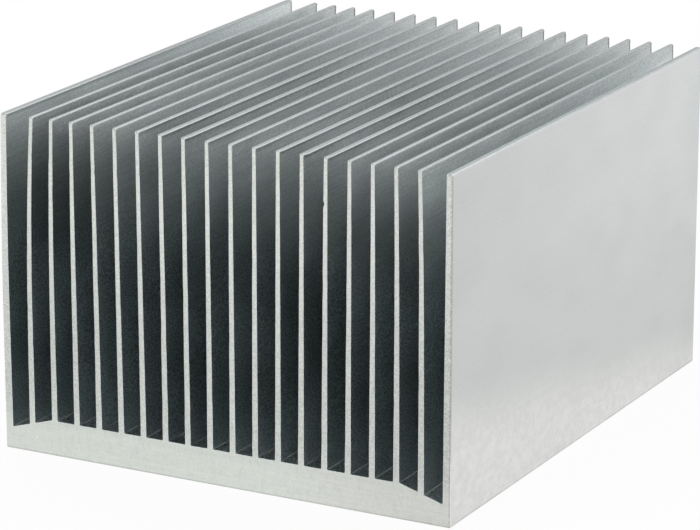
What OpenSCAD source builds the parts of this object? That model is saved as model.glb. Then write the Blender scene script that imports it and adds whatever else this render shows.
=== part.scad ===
// Extruded aluminium heat sink: one solid with a thick base and a comb of tall,
// tapered fins, cut to length with the saw. X runs across the fins, Y along the
// air channels and Z from the mounting face to the fin tips. The origin is in
// the middle of the mounting face.

/* [Overall size] */
// Width across the outer fins
body_w = 128; // [110:1:150]
// Height from the mounting face to the fin tips
body_h = 89; // [60:1:110]
// Length of the cut along the air channels
body_l = 150; // [50:5:400]

/* [Base] */
// Thickness of the base under the middle channels
base_t = 9.4; // [8:0.1:12]
// Thickness of the base where it meets the outer fins
shoulder_t = 5.9; // [4:0.1:7]
// Distance from the outer face at which the sloped shoulder ends
shoulder_w = 13.7; // [8:0.1:20]
// Radius of the two long edges of the mounting face
base_edge_r = 0.3; // [0.2:0.1:2]

/* [Fins] */
// Number of fins, with the two outer ones
fin_count = 20; // [14:2:22]
// Distance between fin centres at the middle of the comb
mid_pitch = 6.46; // [5:0.02:7]
// How much further apart each fin stands, per cube of its place from the middle
pitch_growth = 0.0017; // [0:0.0001:0.003]
// Thickness of an inner fin where it leaves the base
root_t = 1.7; // [1.2:0.05:2]
// Thickness of an inner fin at its tip
tip_t = 1.1; // [0.8:0.05:1.5]
// Thickness of an outer fin where it leaves the base
outer_root_t = 2.1; // [1.5:0.05:2.4]
// Thickness of an outer fin at its tip
outer_tip_t = 1.65; // [1:0.05:2.2]
// Radius in the corners of the air channels
root_r = 0.25; // [0.2:0.05:0.8]
// Radius along the edges of the fin tips
tip_r = 0.3; // [0.1:0.05:0.4]
// Radius of the fin corners at both cut ends
corner_r = 0.3; // [0.2:0.1:3]

/* [Set of the fins] */
// Furthest that a tip leans out to its own side, half way to the outer fin
spread = 0.55; // [0:0.05:0.8]
// How far the last inner fin on the left curls in at its tip
curl_left = 1.25; // [0:0.05:1.5]
// How far the last inner fin on the right curls in at its tip
curl_right = 0.7; // [0:0.05:1.5]
// Share of the half width at which the curl begins
curl_start = 0.65; // [0.5:0.05:0.8]

/* [Hidden] */
half_w = body_w / 2;
half_l = body_l / 2;
mid_place = (fin_count - 1) / 2;
last_fin = fin_count - 1;
last_inner = mid_place - 1;
fin_h = body_h - base_t;
shoulder_slope = (base_t - shoulder_t) / (shoulder_w - outer_root_t);
flank_steps = 8;
arc_steps = 3;
cutter_w = body_w + 2;
cutter_fn = 48;

// Straight blend from a to b
function mix(a, b, t) = a + (b - a) * t;

// Points on an arc about [x, z], from one angle to another
function arc(x, z, r, from, to) =
    [for (i = [0 : arc_steps])
        let (a = mix(from, to, i / arc_steps))
        [x + r * cos(a), z + r * sin(a)]];

// Height of a point as a share of the fin, 0 at the base and 1 at the tip
function share(z) = max(0, (z - base_t) / fin_h);

// Place of a fin from the middle of the comb, negative on the left
function place(fin) = fin - mid_place;

// Place as a share of the half comb, without its side
function reach(fin) = abs(place(fin)) / last_inner;

// Centre line of an inner fin: its root, its lean outward and its curl inward
function root_x(fin) = mid_pitch * place(fin) + pitch_growth * pow(place(fin), 3);
function lean(fin, z) = spread * sin(180 * reach(fin)) * share(z);
function curl(fin, z) =
    (place(fin) < 0 ? curl_left : curl_right)
    * max(0, (reach(fin) - curl_start) / (1 - curl_start))
    * pow(share(z), 3);
function centre_x(fin, z) =
    root_x(fin) + sign(place(fin)) * (lean(fin, z) - curl(fin, z));

// Thickness of inner and outer fins, which taper evenly to the tip
function inner_t(z) = mix(root_t, tip_t, share(z));
function outer_t(z) = mix(outer_root_t, outer_tip_t, share(z));

// Left and right flank of a fin; the outer fins have an upright outer face
function left_x(fin, z) =
    fin == 0 ? -half_w :
    fin == last_fin ? half_w - outer_t(z) :
    centre_x(fin, z) - inner_t(z) / 2;
function right_x(fin, z) =
    fin == 0 ? outer_t(z) - half_w :
    fin == last_fin ? half_w :
    centre_x(fin, z) + inner_t(z) / 2;

// Top of the base: level in the middle, falling away at the two shoulders
function slope_at(x) =
    half_w - abs(x) < shoulder_w ? -sign(x) * shoulder_slope : 0;
function floor_z(x) =
    min(base_t, shoulder_t + (half_w - abs(x) - outer_root_t) * shoulder_slope);

// Corner of a channel: an arc from the flank into the floor, or back up.
// side is 1 where the flank is on the left of the channel and -1 on the right
function channel_corner(x, side) =
    let (
        cx = x + side * root_r,
        dip = atan(slope_at(cx)),
        cz = floor_z(cx) + root_r / cos(dip),
        foot = 270 + dip
    )
    side > 0 ? arc(cx, cz, root_r, 180, foot) : arc(cx, cz, root_r, foot, 360);

// Floor of the channel to the right of a fin, with both its corners
function channel(fin) =
    concat(
        channel_corner(right_x(fin, base_t), 1),
        channel_corner(left_x(fin + 1, base_t), -1)
    );

// Flanks between the channel's corner and the tip, from the base up and back
function rising(fin) =
    [for (i = [1 : flank_steps - 1])
        let (z = mix(base_t, body_h, i / flank_steps))
        [left_x(fin, z), z]];
function falling(fin) =
    [for (i = [flank_steps - 1 : -1 : 1])
        let (z = mix(base_t, body_h, i / flank_steps))
        [right_x(fin, z), z]];

// Flat tip of a fin, between its two rounded edges
function tip(fin) =
    let (z = body_h - tip_r)
    concat(
        arc(left_x(fin, body_h) + tip_r, z, tip_r, 180, 90),
        arc(right_x(fin, body_h) - tip_r, z, tip_r, 90, 0)
    );

// One fin and the channel on its right
function inner_fin(fin) = concat(rising(fin), tip(fin), falling(fin), channel(fin));

// Cross section of the extrusion, once round from the left edge of the base
function section() =
    concat(
        arc(base_edge_r - half_w, base_edge_r, base_edge_r, 270, 180),
        tip(0),
        falling(0),
        channel(0),
        [for (fin = [1 : last_fin - 1]) each inner_fin(fin)],
        rising(last_fin),
        tip(last_fin),
        arc(half_w - base_edge_r, base_edge_r, base_edge_r, 0, -90)
    );

// Length of bar as extruded
module bar() {
    rotate([90, 0, 0])
        linear_extrude(height = body_l, center = true)
            polygon(section());
}

// Side view of the cut length, with the fin corners eased at both ends
module eased_length() {
    rotate([90, 0, 90])
        linear_extrude(height = cutter_w, center = true)
            union() {
                translate([-half_l, 0])
                    square([body_l, body_h - corner_r]);
                translate([corner_r - half_l, 0])
                    square([body_l - 2 * corner_r, body_h]);
                for (end = [-1, 1])
                    translate([end * (half_l - corner_r), body_h - corner_r])
                        circle(r = corner_r, $fn = cutter_fn);
            }
}

module heat_sink() {
    color("silver")
        intersection() {
            bar();
            eased_length();
        }
}

heat_sink();
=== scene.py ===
"""Looks of the extruded heat sink: mill-finish aluminium with sawn ends, on a white floor."""

import math

import bmesh
import bpy
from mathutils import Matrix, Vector, noise
from mathutils.geometry import tessellate_polygon


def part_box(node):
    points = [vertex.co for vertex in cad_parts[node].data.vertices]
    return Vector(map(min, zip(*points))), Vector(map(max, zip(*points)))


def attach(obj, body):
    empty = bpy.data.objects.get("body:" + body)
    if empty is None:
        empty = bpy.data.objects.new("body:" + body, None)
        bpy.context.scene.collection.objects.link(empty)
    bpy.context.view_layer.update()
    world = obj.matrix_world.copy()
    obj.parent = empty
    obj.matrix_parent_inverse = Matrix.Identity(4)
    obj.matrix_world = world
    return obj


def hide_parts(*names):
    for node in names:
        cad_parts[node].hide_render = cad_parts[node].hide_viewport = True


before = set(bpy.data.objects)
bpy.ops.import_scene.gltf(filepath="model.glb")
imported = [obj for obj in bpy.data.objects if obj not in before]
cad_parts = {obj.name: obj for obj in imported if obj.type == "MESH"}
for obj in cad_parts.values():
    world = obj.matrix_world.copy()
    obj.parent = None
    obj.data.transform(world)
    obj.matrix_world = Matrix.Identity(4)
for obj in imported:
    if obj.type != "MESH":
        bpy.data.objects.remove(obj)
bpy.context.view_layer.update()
NODE = "heat_sink"
LOW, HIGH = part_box(NODE)
WIDTH = HIGH.x - LOW.x
LENGTH = HIGH.y - LOW.y
HEIGHT = HIGH.z - LOW.z
MM = 0.001

# The section and the rings of the body's mesh
SAME_POINT = 1e-6
STRAIGHT = 1e-4  # sine of the turn below which a stretch counts as straight
MITRE_LIMIT = 2  # the furthest that a moved corner goes, in steps of its edges
ARRIS = 0.1 * MM  # easing of the sawn edges
ARRIS_STEPS = 3
EASE_STEPS = 5  # rings over the rounded fin corners
RING_SPACING = 7.5 * MM  # between rings along the fins
FLANK_SPACING = 4 * MM  # between the points up the flanks
FLANK_TOP = 1.3 * MM  # how far below the tip the plain flank begins
FRONT, BACK = 0, 1  # the two cut ends

# Burrs of the sawn edges, and the nick in the front left edge of one fin
BURR = 0.12 * MM  # how deep they go
BURR_SIZE = 2 * MM  # across one uneven patch
BURR_BIAS = 0.15  # raises the share of the edge that is worn
BURR_REACH = 0.8 * MM  # how far from the cut it runs out
NICKED = 14  # the fin with the nick, counted from the left
NICK_Z = 77.2 * MM  # height of its middle
NICK_HALF = 0.8 * MM  # half its height
NICK_STEPS = 3  # points over that half
NICK_DEPTH = 0.28 * MM  # at its middle
NICK_SIDE = 3 * MM  # from the fin's middle, far enough to take in its left flank

# How far the right edge of a fin's tip is rolled over, in mm, for fins counted from the left
ROLLED = {
    0: 0.4, 6: 0.3, 7: 0.6, 8: 0.7, 9: 0.4, 10: 0.2, 11: 0.45, 12: 0.5, 13: 0.7, 14: 0.5,
}
LIP_PEAK = 0.35 * MM  # how far below the tip it stands out most, under the rounded edge
LIP_DROP = 0.7 * MM  # how far below the tip it ends
LIP_TOP = 0.85  # share of it that is reached right at the tip
LIP_END = 1.5 * MM  # how far from the cut ends it begins to fade out
LIP_LOSS = 0.35  # share of it that is lost by the far end
LIP_WAVE = 25 * MM  # length of its waves along the fin
LIP_WAVER = 0.25  # how strong they are, as a share of it

# How far the left fins are bent in at the front, in mm at the tip
BENT = {0: 0.8, 1: 0.55, 2: 0.25}
BEND_FOOT = 42 * MM  # the height at which the bend begins
BEND_POWER = 1.5  # above 1, so that the bend grows towards the tip

# Which strips of the outline get which material
CHANNEL, OUTSIDE, SAWN, TIP, RUBBED, ROOT = range(6)  # the body's materials, in order
OUTSIDE_SKIN = 0.5 * MM  # depth of the strips that lie on the outside of the section
ROOT_STRIP = 0.2 * MM  # the slanted strips in the corners of the channels are narrower
ROOT_TOP = 12 * MM  # and lie lower

ROUGHNESS_SWING = 0.14  # how much roughness varies over each finish
FLOOR_SIZE = 6  # metres
FLOOR_GLOW = 0.9  # share of the floor that shows white even in the shadow

# The photograph's view, with its distances in widths of the part
VIEW_AZIMUTH = 28.09
VIEW_ELEVATION = 16.46
VIEW_TARGET = (0.018, 0.5, 0.3242)  # from the middle, the front end and the mounting face
VIEW_DISTANCE = 7.617
LENS = 191.6  # mm
SENSOR = 36  # mm


def cut_outline(node):
    """The cross section at the middle of a node's length, as (x, z) points in order."""
    bm = bmesh.new()
    bm.from_mesh(node.data)
    bmesh.ops.remove_doubles(bm, verts=bm.verts, dist=SAME_POINT)
    middle = (LOW + HIGH) / 2
    everything = bm.verts[:] + bm.edges[:] + bm.faces[:]
    cut = bmesh.ops.bisect_plane(
        bm, geom=everything, plane_co=middle, plane_no=(0, 1, 0), dist=SAME_POINT
    )
    edges = [g for g in cut["geom_cut"] if isinstance(g, bmesh.types.BMEdge)]
    links = {}
    for edge in edges:
        for here, there in (edge.verts, reversed(edge.verts)):
            links.setdefault(here, []).append(there)
    start = next(iter(links))
    loop, last, here = [start], None, start
    while True:
        ahead = [v for v in links[here] if v is not last]
        last, here = here, ahead[0]
        if here is start:
            break
        loop.append(here)
    points = [Vector((v.co.x, v.co.z)) for v in loop]
    bm.free()
    return anticlockwise(drop_straight_points(points))


def drop_straight_points(points):
    """The outline without the points that lie on a straight stretch."""
    kept = []
    for i, here in enumerate(points):
        before = here - points[i - 1]
        after = points[(i + 1) % len(points)] - here
        if before.length < SAME_POINT:
            continue
        if abs(before.normalized().cross(after.normalized())) > STRAIGHT:
            kept.append(here)
    return kept


def anticlockwise(points):
    """The outline in anticlockwise order."""
    area = sum(points[i - 1].cross(points[i]) for i in range(len(points)))
    return points if area > 0 else points[::-1]


def outward(points):
    """For each point, the step that moves both its edges out by one unit."""
    steps = []
    for i, here in enumerate(points):
        before = (here - points[i - 1]).normalized()
        after = (points[(i + 1) % len(points)] - here).normalized()
        normal = Vector((before.y + after.y, -before.x - after.x)).normalized()
        steps.append(normal / max(1 / MITRE_LIMIT, normal.dot(Vector((before.y, -before.x)))))
    return steps


def flank_heights():
    """The heights at which every flank gets a point, for its tip, its nick and its burrs."""
    heights = {HIGH.z - LIP_DROP, HIGH.z - FLANK_TOP}
    nick = range(-NICK_STEPS, NICK_STEPS + 1)
    heights |= {NICK_Z + NICK_HALF * i / NICK_STEPS for i in nick}
    steps = range(1, round(HEIGHT / FLANK_SPACING))
    return heights | {LOW.z + FLANK_SPACING * i for i in steps}


def split_at(points, heights):
    """The outline with a new point wherever it passes one of the heights."""
    for height in sorted(heights):
        found = []
        for i, here in enumerate(points):
            last = points[i - 1]
            if min(last.y, here.y) < height < max(last.y, here.y):
                found.append(last.lerp(here, (height - last.y) / (here.y - last.y)))
            found.append(here)
        points = found
    return points


def tip_middles(points):
    """The middle of each fin's flat tip, from the left."""
    pairs = [(points[i - 1], here) for i, here in enumerate(points)]
    return sorted((a.x + b.x) / 2 for a, b in pairs if min(a.y, b.y) > HIGH.z - SAME_POINT)


def nearest(middles, point):
    """The fin that a point of the outline belongs to, counted from the left."""
    return min(range(len(middles)), key=lambda i: abs(middles[i] - point.x))


def bend(point, middles, along):
    """How far a point stands in where the front of its fin is bent a little."""
    share = max(0, (point.y - BEND_FOOT) / (HIGH.z - BEND_FOOT))
    fade = 1 - (along - LOW.y) / LENGTH
    return BENT.get(nearest(middles, point), 0) * MM * share**BEND_POWER * fade


def lip(point, middles, along):
    """How far a point of the outline moves out where the edge of its tip is rolled over."""
    depth = HIGH.z - point.y
    if depth > LIP_DROP:
        return 0
    fin = nearest(middles, point)
    if point.x < middles[fin]:
        return 0
    if depth < LIP_PEAK:
        share = LIP_TOP + (1 - LIP_TOP) * depth / LIP_PEAK
    else:
        share = (LIP_DROP - depth) / (LIP_DROP - LIP_PEAK)
    waver = noise.noise(Vector((along / LIP_WAVE, fin, 0.5)))
    fade = 1 - LIP_LOSS * (along - LOW.y) / LENGTH
    fade *= min(1, (along - LOW.y) / LIP_END, (HIGH.y - along) / LIP_END)
    return ROLLED.get(fin, 0) * MM * share * fade * (1 + LIP_WAVER * waver)


def wear(point, middles, depth, end):
    """How far a point is worn in, at a given distance from the sawn edge of one end."""
    if depth > BURR_REACH:
        return 0
    patch = noise.noise(Vector((point.x / BURR_SIZE, point.y / BURR_SIZE, end)))
    worn = BURR * max(0, patch + BURR_BIAS)
    on_flank = 0 < middles[NICKED] - point.x < NICK_SIDE
    if end == FRONT and on_flank and abs(point.y - NICK_Z) < NICK_HALF:
        worn += NICK_DEPTH * math.cos((point.y - NICK_Z) / NICK_HALF * math.pi / 2)
    return worn * (1 - depth / BURR_REACH)


def corner_radius(node):
    """Radius of the fin corners at the cut ends, from how far the cut face falls short."""
    on_cut = [v.co.z for v in node.data.vertices if v.co.y < LOW.y + SAME_POINT]
    return HIGH.z - max(on_cut)


def quarter_turn(steps):
    """Angles from 0 to a right angle, in equal steps."""
    return [i / steps * math.pi / 2 for i in range(steps + 1)]


def rings(ease):
    """Half the rings, from the cut face inward: (distance from the cut, inset, tip drop)."""
    depths = {ARRIS * (1 - math.cos(angle)) for angle in quarter_turn(ARRIS_STEPS)}
    depths |= {ease * (1 - math.sin(angle)) for angle in quarter_turn(EASE_STEPS)}
    run = LENGTH / 2 - ease
    count = round(run / RING_SPACING)
    depths |= {ease + run * i / count for i in range(1, count + 1)} | {LIP_END}
    found = []
    for depth in sorted(depths):
        inset, drop = 0.0, 0.0
        if depth < ARRIS:
            inset = ARRIS - math.sqrt(ARRIS**2 - (ARRIS - depth) ** 2)
        if depth < ease:
            drop = ease - math.sqrt(ease**2 - (ease - depth) ** 2)
        found.append((depth, inset, drop))
    return found


def finish_of(here, there):
    """The material of the strip between two neighbouring points of the outline."""
    if min(here.y, there.y) > HIGH.z - LIP_PEAK:
        return TIP if abs(here.y - there.y) < SAME_POINT else RUBBED
    sides = [min(point.x - LOW.x, HIGH.x - point.x) for point in (here, there)]
    top = max(here.y, there.y)
    if max(sides) < OUTSIDE_SKIN or top < LOW.z + OUTSIDE_SKIN:
        return OUTSIDE
    run, rise = abs(there.x - here.x), abs(there.y - here.y)
    slanted = run / 2 < rise < run * 2
    in_corner = top < LOW.z + ROOT_TOP and slanted and run < ROOT_STRIP
    return ROOT if in_corner else CHANNEL


def ring_places(points, steps, middles, ring):
    """The outline at one ring of the body, with its easing, wear, rolled edges and bends."""
    depth, inset, drop = ring
    along = LOW.y + depth
    from_cut, end = min((depth, FRONT), (LENGTH - depth, BACK))
    places = []
    for point, step in zip(points, steps):
        at = point - step * (inset + wear(point, middles, from_cut, end))
        x = at.x + lip(point, middles, along) + bend(point, middles, along)
        z = at.y - (drop if point.y > HIGH.z - LIP_PEAK else 0)
        places.append((x, along, z))
    return places


def join_loops(bm, loop, after, strips):
    """Faces between two neighbouring loops of vertices, with the material of each strip."""
    for i, strip in enumerate(strips):
        j = (i + 1) % len(strips)
        side = bm.faces.new((loop[i], after[i], after[j], loop[j]))
        side.material_index = strip
        side.smooth = True


def close_end(bm, loop, order):
    """The flat cut face inside a loop; order is 1 or -1, for the way that it faces."""
    flat = [Vector((v.co.x / MM, v.co.z / MM, 0)) for v in loop]
    for corners in tessellate_polygon([flat]):
        cut = bm.faces.new([loop[i] for i in corners[::order]])
        cut.material_index = SAWN


def make_body():
    """The extrusion as a mesh of rings along its length, with its sawn edges eased."""
    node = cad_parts[NODE]
    points = split_at(cut_outline(node), flank_heights())
    middles, steps = tip_middles(points), outward(points)
    strips = [finish_of(here, points[(i + 1) % len(points)]) for i, here in enumerate(points)]
    near = rings(corner_radius(node))
    far = [(LENGTH - depth, inset, drop) for depth, inset, drop in reversed(near[:-1])]
    bm = bmesh.new()
    loops = []
    for ring in near + far:
        places = ring_places(points, steps, middles, ring)
        loops.append([bm.verts.new(place) for place in places])
    for loop, after in zip(loops, loops[1:]):
        join_loops(bm, loop, after, strips)
    close_end(bm, loops[0], 1)
    close_end(bm, loops[-1], -1)
    mesh = bpy.data.meshes.new("heat_sink_body")
    bm.to_mesh(mesh)
    bm.free()
    piece = bpy.data.objects.new("heat_sink_body", mesh)
    bpy.context.scene.collection.objects.link(piece)
    piece.modifiers.new("even_shading", "WEIGHTED_NORMAL")
    return piece


class Finish:
    """A node material, with the few kinds of node that the finishes share."""

    def __init__(self, name, colour, roughness):
        self.material = bpy.data.materials.new(name)
        self.material.use_nodes = True
        self.nodes = self.material.node_tree.nodes
        self.links = self.material.node_tree.links
        self.shader = self.nodes["Principled BSDF"]
        self.shader.inputs["Metallic"].default_value = 1
        self.place = self.nodes.new("ShaderNodeTexCoord")
        self.colour, self.roughness = colour, roughness

    def put(self, socket, value):
        """Link a node's output to a socket, or set the socket to a plain value."""
        if isinstance(value, bpy.types.NodeSocket):
            self.links.new(value, socket)
        else:
            socket.default_value = value

    def node(self, kind, **inputs):
        """A new node. Inputs are numbers, vectors or the outputs of other nodes."""
        made = self.nodes.new(kind)
        for name, value in inputs.items():
            self.put(made.inputs[name], value)
        return made

    def sum(self, operation, *values):
        """The result of a Math node."""
        made = self.nodes.new("ShaderNodeMath")
        made.operation = operation
        for socket, value in zip(made.inputs, values):
            self.put(socket, value)
        return made.outputs["Value"]

    def times(self, one, other):
        """Two values multiplied."""
        return self.sum("MULTIPLY", one, other)

    def swing(self, value, where):
        """Noise from -0.5 to 0.5 in place of 0 to 1, kept to where another value is high."""
        return self.times(self.sum("SUBTRACT", value, 0.5), where)

    def spread(self, value, low, high):
        """A value's range from low to high, eased on to the range from 0 to 1."""
        made = self.node("ShaderNodeMapRange", Value=value)
        made.interpolation_type = "SMOOTHSTEP"
        made.inputs["From Min"].default_value = low
        made.inputs["From Max"].default_value = high
        return made.outputs["Result"]

    def along(self, axis):
        """How far along an axis a point lies, in metres."""
        place = self.place.outputs["Object"]
        return self.node("ShaderNodeSeparateXYZ", Vector=place).outputs[axis]

    def facing(self, axis):
        """How much the surface faces along an axis, from -1 to 1."""
        normal = self.place.outputs["Normal"]
        return self.node("ShaderNodeSeparateXYZ", Vector=normal).outputs[axis]

    def cells(self, size, turn=(0, 0, 0)):
        """Coordinates that count cells of a given size, turned about the axes."""
        made = self.node("ShaderNodeMapping", Vector=self.place.outputs["Object"])
        made.vector_type = "TEXTURE"
        made.inputs["Rotation"].default_value = [math.radians(a) for a in turn]
        made.inputs["Scale"].default_value = size
        return made.outputs["Vector"]

    def noise(self, size, detail=2.0, low=0.3, high=0.7):
        """Soft noise from 0 to 1, in patches of a given size."""
        made = self.node("ShaderNodeTexNoise", Vector=self.cells(size), Scale=1.0, Detail=detail)
        return self.spread(made.outputs["Fac"], low, high)

    def scratches(self, size, turn, kept):
        """Thin straight marks in one direction; kept is the share of cells that hold one."""
        marks = self.node("ShaderNodeTexVoronoi", Vector=self.cells(size, turn), Scale=1.0)
        near = self.spread(marks.outputs["Distance"], 0.45, 0.2)  # from the middle, in cells
        split = self.node("ShaderNodeSeparateColor", Color=marks.outputs["Color"])
        chosen = self.sum("LESS_THAN", split.outputs["Red"], kept)
        return self.times(near, chosen)

    def tone(self, swings, lifts):
        """Brightness about 1. A swing goes as far below as above, and a lift only one way."""
        total = 1.0
        for value, size in swings:
            total = self.sum("ADD", self.sum("MULTIPLY_ADD", value, size, -size / 2), total)
        for value, size in lifts:
            total = self.sum("MULTIPLY_ADD", value, size, total)
        return total

    def blend(self, value, low, high):
        """A colour that goes from low to high as a value goes from 0 to 1."""
        made = self.nodes.new("ShaderNodeMix")
        made.data_type = "VECTOR"
        self.put(made.inputs["Factor"], value)
        made.inputs["A"].default_value = low
        made.inputs["B"].default_value = high
        return made.outputs["Result"]

    def shade(self, value, other):
        """Another colour where a value is 0, blending to the finish's own where it is 1."""
        self.colour = self.blend(value, other, self.colour)

    def tint(self, value, low, high):
        """The colour shifted between two tints, as a value goes from 0 to 1."""
        made = self.nodes.new("ShaderNodeVectorMath")
        made.operation = "MULTIPLY"
        self.put(made.inputs[0], self.colour)
        self.put(made.inputs[1], self.blend(value, low, high))
        self.colour = made.outputs["Vector"]

    def finish(self, tone, rough, relief, depth):
        """Link the brightness, the change in roughness and the relief to the shader."""
        colour = self.nodes.new("ShaderNodeVectorMath")
        colour.operation = "SCALE"
        self.put(colour.inputs[0], self.colour)
        self.put(colour.inputs["Scale"], tone)
        self.put(self.shader.inputs["Base Color"], colour.outputs["Vector"])
        smoothest = self.roughness - ROUGHNESS_SWING / 2
        roughness = self.sum("MULTIPLY_ADD", rough, ROUGHNESS_SWING, smoothest)
        self.put(self.shader.inputs["Roughness"], roughness)
        bump = self.node("ShaderNodeBump", Height=relief, Distance=depth, Strength=1.0)
        self.put(self.shader.inputs["Normal"], bump.outputs["Normal"])
        return self.material


def draw_along_bar(skin):
    """Stretch a finish's highlights across the lines that the die has drawn."""
    skin.shader.inputs["Anisotropic"].default_value = 0.75
    skin.shader.inputs["Anisotropic Rotation"].default_value = 0.25
    drawn = skin.node("ShaderNodeCombineXYZ", Y=1)
    skin.put(skin.shader.inputs["Tangent"], drawn.outputs["Vector"])


def channel_walls():
    """The flanks and floors as they left the die: drawn along the bar, with a fine grain. Their
    tone also carries painted light and shade.
    """
    skin = Finish("channel_walls", (0.68, 0.72, 0.72), 0.55)
    draw_along_bar(skin)
    height, along = skin.along("Z"), skin.along("Y")
    across = skin.along("X")
    from_middle = skin.sum("ABSOLUTE", across)
    upper = skin.spread(height, LOW.z + 50 * MM, LOW.z + 76 * MM)
    skin.shade(upper, (0.69, 0.76, 0.77))
    tint = skin.noise((9 * MM, 14 * MM, 9 * MM))
    skin.tint(tint, (0.985, 1.01, 0.99), (1.015, 0.99, 1.015))
    lines = skin.noise((0.45 * MM, 25 * MM, 0.45 * MM))
    grain = skin.noise((0.4 * MM, 0.7 * MM, 0.4 * MM), detail=3.0)
    cloud = skin.noise((25 * MM, 40 * MM, 25 * MM))
    marks = skin.scratches((4 * MM, 14 * MM, 0.5 * MM), (28, 0, 0), 0.1)
    # Up the walls
    lip_shadow = skin.spread(height, HIGH.z - 7 * MM, HIGH.z)
    depth = skin.spread(height, LOW.z + 75 * MM, LOW.z + 50 * MM)
    above = skin.spread(height, LOW.z + 58 * MM, LOW.z + 70 * MM)
    below = skin.spread(height, LOW.z + 84 * MM, LOW.z + 75 * MM)
    root = skin.spread(height, LOW.z + 30 * MM, LOW.z + 12 * MM)
    floor = skin.spread(skin.facing("Z"), 0.6, 0.9)
    # Along them
    front = skin.spread(along, LOW.y + 25 * MM, LOW.y + 3 * MM)
    far = skin.spread(along, LOW.y + 60 * MM, HIGH.y - 25 * MM)
    end = skin.spread(along, HIGH.y - 20 * MM, HIGH.y - 2 * MM)
    cut = skin.spread(along, HIGH.y - 1.1 * MM, HIGH.y - 0.4 * MM)
    # Across the comb
    left = skin.spread(across, LOW.x + 0.28 * WIDTH, LOW.x + 0.18 * WIDTH)
    middle = skin.spread(from_middle, 26 * MM, 16 * MM)
    outer = skin.spread(from_middle, HIGH.x - 11 * MM, HIGH.x - 6 * MM)
    upper_left = skin.times(left, upper)
    # Painted light up the walls: brighter high up, low down on the walls and in a band at mid
    # height in the middle of the comb; painted shade under the tips and on the channel floors.
    lifts = [(upper, 0.12), (lip_shadow, -0.2), (root, 0.19), (floor, -0.5)]
    lifts += [(skin.times(skin.times(above, below), middle), 0.12)]
    # Painted light towards the far end and in the outer channels; painted shade over the far 20
    # mm and on the upper left walls, most at the front. The cut term darkens the last millimetre
    # at the far end.
    lifts += [(far, 0.08), (end, -0.15), (cut, -0.5), (outer, 0.1), (upper_left, -0.12)]
    lifts += [(skin.times(upper_left, front), -0.1), (skin.times(upper_left, outer), 0.14)]
    lifts += [(skin.times(upper_left, lip_shadow), 0.12)]
    lifts += [(skin.swing(grain, depth), 0.4), (skin.swing(lines, upper), 0.07)]
    tone = skin.tone([(lines, 0.05), (grain, 0.22), (cloud, 0.12), (marks, 0.12)], lifts)
    return skin.finish(tone, cloud, skin.sum("ADD", lines, grain), 0.01 * MM)


def outside_faces():
    """The smooth outer faces: faint drawn lines and soft clouds, with painted light that makes
    them brighter low down in front.
    """
    skin = Finish("outside_faces", (0.765, 0.768, 0.752), 0.45)
    height, along = skin.along("Z"), skin.along("Y")
    # Painted light: the faces keep their own colour low down towards the front and darken to the
    # other colour elsewhere.
    slant = skin.sum("MULTIPLY_ADD", along, 0.16, height)
    low = skin.spread(slant, 26 * MM, 6 * MM)
    skin.shade(low, (0.63, 0.649, 0.639))
    lines = skin.noise((1 * MM, 40 * MM, 1 * MM))
    grain = skin.noise((0.5 * MM, 0.7 * MM, 0.5 * MM), detail=3.0)
    patches = skin.noise((1.8 * MM, 2.4 * MM, 1.8 * MM), detail=4.0)
    cloud = skin.noise((22 * MM, 22 * MM, 14 * MM), detail=3.0)
    streaks = skin.noise((1, 50 * MM, 0.45 * MM), low=0.5, high=0.7)
    back = skin.spread(along, LOW.y - 15 * MM, HIGH.y - 5 * MM)
    front = skin.spread(along, LOW.y + 0.5 * MM, LOW.y + 0.2 * MM)
    high = skin.spread(height, LOW.z + 10 * MM, HIGH.z)
    rim = skin.spread(height, LOW.z + 4.5 * MM, LOW.z + 1 * MM)
    bottom = skin.spread(height, LOW.z + 0.7 * MM, LOW.z + 0.3 * MM)
    top = skin.spread(height, HIGH.z - 1.2 * MM, HIGH.z - 0.6 * MM)
    above_base = skin.spread(height, LOW.z + 13 * MM, LOW.z + 20 * MM)
    # Painted light: brighter high up towards the back; painted shade along the bottom edge;
    # painted highlights along the front edge and the top edge, with the front edge darker above
    # the base.
    lifts = [(skin.times(back, high), 0.15), (skin.swing(patches, low), 0.085)]
    lifts += [(bottom, -0.2), (skin.times(rim, streaks), -0.09), (front, 0.05), (top, 0.03)]
    lifts += [(skin.times(front, above_base), -0.3)]
    tone = skin.tone([(lines, 0.015), (grain, 0.055), (cloud, 0.04)], lifts)
    return skin.finish(tone, cloud, lines, 0.002 * MM)


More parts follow.
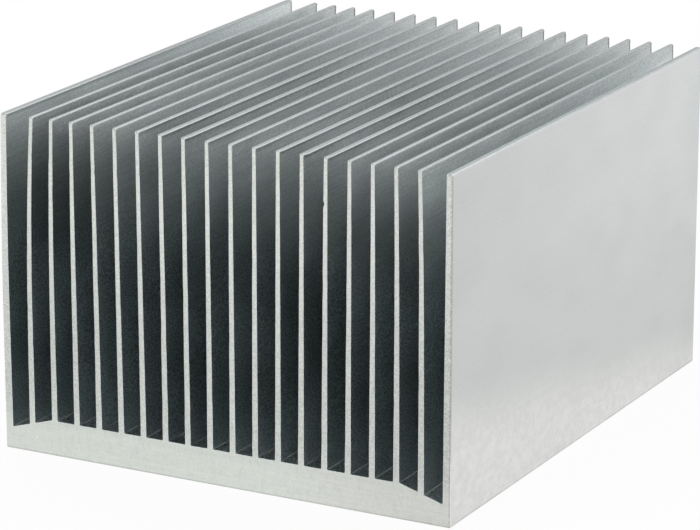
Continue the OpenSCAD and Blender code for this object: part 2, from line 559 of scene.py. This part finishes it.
def sawn_aluminium():
    """The cut ends: fine bright grain, dull blots, bright specks and the marks of the saw, under
    painted light and shade.
    """
    skin = Finish("sawn_aluminium", (0.66, 0.69, 0.65), 0.5)
    across, height = skin.along("X"), skin.along("Z")
    left = skin.spread(across, LOW.x + 0.9 * WIDTH, LOW.x + 0.5 * WIDTH)
    skin.shade(left, (0.675, 0.69, 0.655))
    grain = skin.noise((0.35 * MM, 0.35 * MM, 0.35 * MM), detail=3.0)
    blots = skin.noise((1.6 * MM, 1.6 * MM, 3 * MM), low=0.45, high=0.75)
    specks = skin.scratches((0.7 * MM, 0.7 * MM, 0.7 * MM), (0, 0, 0), 0.008)
    cloud = skin.noise((14 * MM, 14 * MM, 14 * MM))
    saw = skin.noise((30 * MM, 30 * MM, 0.6 * MM), detail=1.0)
    edge_dark_dots = skin.noise((1, 1, 1.5 * MM), low=0.2, high=0.6)
    bottom = skin.spread(height, LOW.z + 0.6 * MM, LOW.z + 0.2 * MM)
    base = skin.spread(height, LOW.z + 14 * MM, LOW.z + 5 * MM)
    fins = skin.spread(height, LOW.z + 9 * MM, LOW.z + 12 * MM)
    upper = skin.spread(height, LOW.z + 25 * MM, HIGH.z - 10 * MM)
    right = skin.spread(across, LOW.x + 0.6 * WIDTH, HIGH.x)
    edge = skin.spread(across, HIGH.x - 0.55 * MM, HIGH.x - 0.25 * MM)
    # Painted light: brighter on the base and high on the fins. Painted shade: darker towards the
    # right and along the bottom edge.
    lifts = [(base, 0.11), (upper, 0.19), (right, -0.1), (bottom, -0.25), (blots, -0.06)]
    lifts += [(skin.swing(grain, fins), 0.22), (specks, 0.25)]
    # A broken darker line along the right edge of the cut face.
    lifts += [(skin.times(edge, edge_dark_dots), -0.3)]
    tone = skin.tone([(grain, 0.11), (cloud, 0.05), (saw, 0.04)], lifts)
    return skin.finish(tone, cloud, skin.sum("ADD", grain, saw), 0.012 * MM)


def tip_finish(name, colour, roughness, far_shade):
    """A finish of the tips: patchy along each fin, with painted shade towards the far end and
    painted highlights at the front corner and the outer right edge.
    """
    skin = Finish(name, colour, roughness)
    along = skin.along("Y")
    grain = skin.noise((0.45 * MM, 1.2 * MM, 0.45 * MM), detail=3.0)
    cloud = skin.noise((5 * MM, 60 * MM, 1))
    far_end = skin.spread(along, LOW.y - 8 * MM, HIGH.y - 38 * MM)
    corner = skin.spread(along, LOW.y + 1 * MM, LOW.y + 0.2 * MM)
    rim = skin.spread(along, HIGH.y - 0.8 * MM, HIGH.y - 0.2 * MM)
    right = skin.spread(skin.along("X"), HIGH.x - 0.45 * MM, HIGH.x - 0.35 * MM)
    # Painted shade towards the far end, painted highlights at the front corner and along the
    # outer right edge; the rim term darkens the last millimetre at the far end.
    lifts = [(far_end, -far_shade), (corner, 0.12), (rim, -0.35), (right, 0.12)]
    tone = skin.tone([(grain, 0.16), (cloud, 0.12)], lifts)
    return skin.finish(tone, cloud, grain, 0.01 * MM)


def shaded_tips():
    """The flat tips of the fins, darker than the flanks: painted shade on the faces that look
    up.
    """
    return tip_finish("shaded_tips", (0.455, 0.485, 0.485), 0.5, 0.12)


def rubbed_edges():
    """Edges of the tips that handling has rubbed bright."""
    return tip_finish("rubbed_edges", (0.653, 0.69, 0.695), 0.4, 0.28)


def channel_roots():
    """The corners of the channels: a pale, barely metallic strip that paints the highlight along
    the rounded corners.
    """
    skin = Finish("channel_roots", (0.56, 0.58, 0.59), 0.5)
    skin.shader.inputs["Metallic"].default_value = 0.2
    grain = skin.noise((0.4 * MM, 1.5 * MM, 0.4 * MM))
    cloud = skin.noise((20 * MM, 30 * MM, 20 * MM))
    front = skin.spread(skin.along("Y"), LOW.y + 4 * MM, LOW.y + 1 * MM)
    tone = skin.tone([(grain, 0.2), (cloud, 0.3)], [(front, -0.4)])
    return skin.finish(tone, cloud, grain, 0.01 * MM)


def make_camera():
    """The camera at the photographed view, looking down at the front right corner."""
    azimuth, elevation = math.radians(VIEW_AZIMUTH), math.radians(VIEW_ELEVATION)
    across, along, up = [share * WIDTH for share in VIEW_TARGET]
    target = Vector((across, LOW.y + along, up))
    back = Vector((
        math.sin(azimuth) * math.cos(elevation),
        -math.cos(azimuth) * math.cos(elevation),
        math.sin(elevation),
    ))
    data = bpy.data.cameras.new("camera")
    data.lens = LENS
    data.sensor_width = SENSOR
    camera = bpy.data.objects.new("camera", data)
    camera.location = target + back * (VIEW_DISTANCE * WIDTH)
    camera.rotation_mode = "QUATERNION"
    camera.rotation_quaternion = (-back).to_track_quat("-Z", "Y")
    bpy.context.scene.collection.objects.link(camera)
    bpy.context.scene.camera = camera


def make_world():
    """Even white light from all around."""
    world = bpy.data.worlds.new("studio")
    world.use_nodes = True
    world.node_tree.nodes["Background"].inputs["Color"].default_value = (1, 1, 1, 1)
    world.node_tree.nodes["Background"].inputs["Strength"].default_value = 1
    bpy.context.scene.world = world


def make_floor():
    """A white floor. Seen or mirrored it is near white, and keeps a faint shadow."""
    bpy.ops.mesh.primitive_plane_add(size=FLOOR_SIZE)
    floor = bpy.context.object
    floor.name = "floor"
    mat = bpy.data.materials.new("floor_white")
    mat.use_nodes = True
    nodes, links = mat.node_tree.nodes, mat.node_tree.links
    nodes.remove(nodes["Principled BSDF"])
    plain = nodes.new("ShaderNodeBsdfDiffuse")
    plain.inputs["Color"].default_value = (1, 1, 1, 1)
    glow = nodes.new("ShaderNodeEmission")
    glow.inputs["Color"].default_value = (1, 1, 1, 1)
    seen = nodes.new("ShaderNodeLightPath")
    share = seen.outputs["Is Camera Ray"]
    for other in ("Is Glossy Ray", "Is Transmission Ray"):
        either = nodes.new("ShaderNodeMath")
        either.operation = "MAXIMUM"
        links.new(share, either.inputs[0])
        links.new(seen.outputs[other], either.inputs[1])
        share = either.outputs["Value"]
    part = nodes.new("ShaderNodeMath")
    part.operation = "MULTIPLY"
    part.inputs[1].default_value = FLOOR_GLOW
    links.new(share, part.inputs[0])
    mixed = nodes.new("ShaderNodeMixShader")
    links.new(part.outputs["Value"], mixed.inputs["Fac"])
    links.new(plain.outputs["BSDF"], mixed.inputs[1])
    links.new(glow.outputs["Emission"], mixed.inputs[2])
    links.new(mixed.outputs["Shader"], nodes["Material Output"].inputs["Surface"])
    floor.data.materials.append(mat)


make_camera()
body = make_body()
finishes = [channel_walls, outside_faces, sawn_aluminium, shaded_tips, rubbed_edges, channel_roots]
for make_finish in finishes:
    body.data.materials.append(make_finish())
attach(body, "root")
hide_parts(NODE)
make_world()
make_floor()
bpy.context.scene.view_settings.view_transform = "Standard"
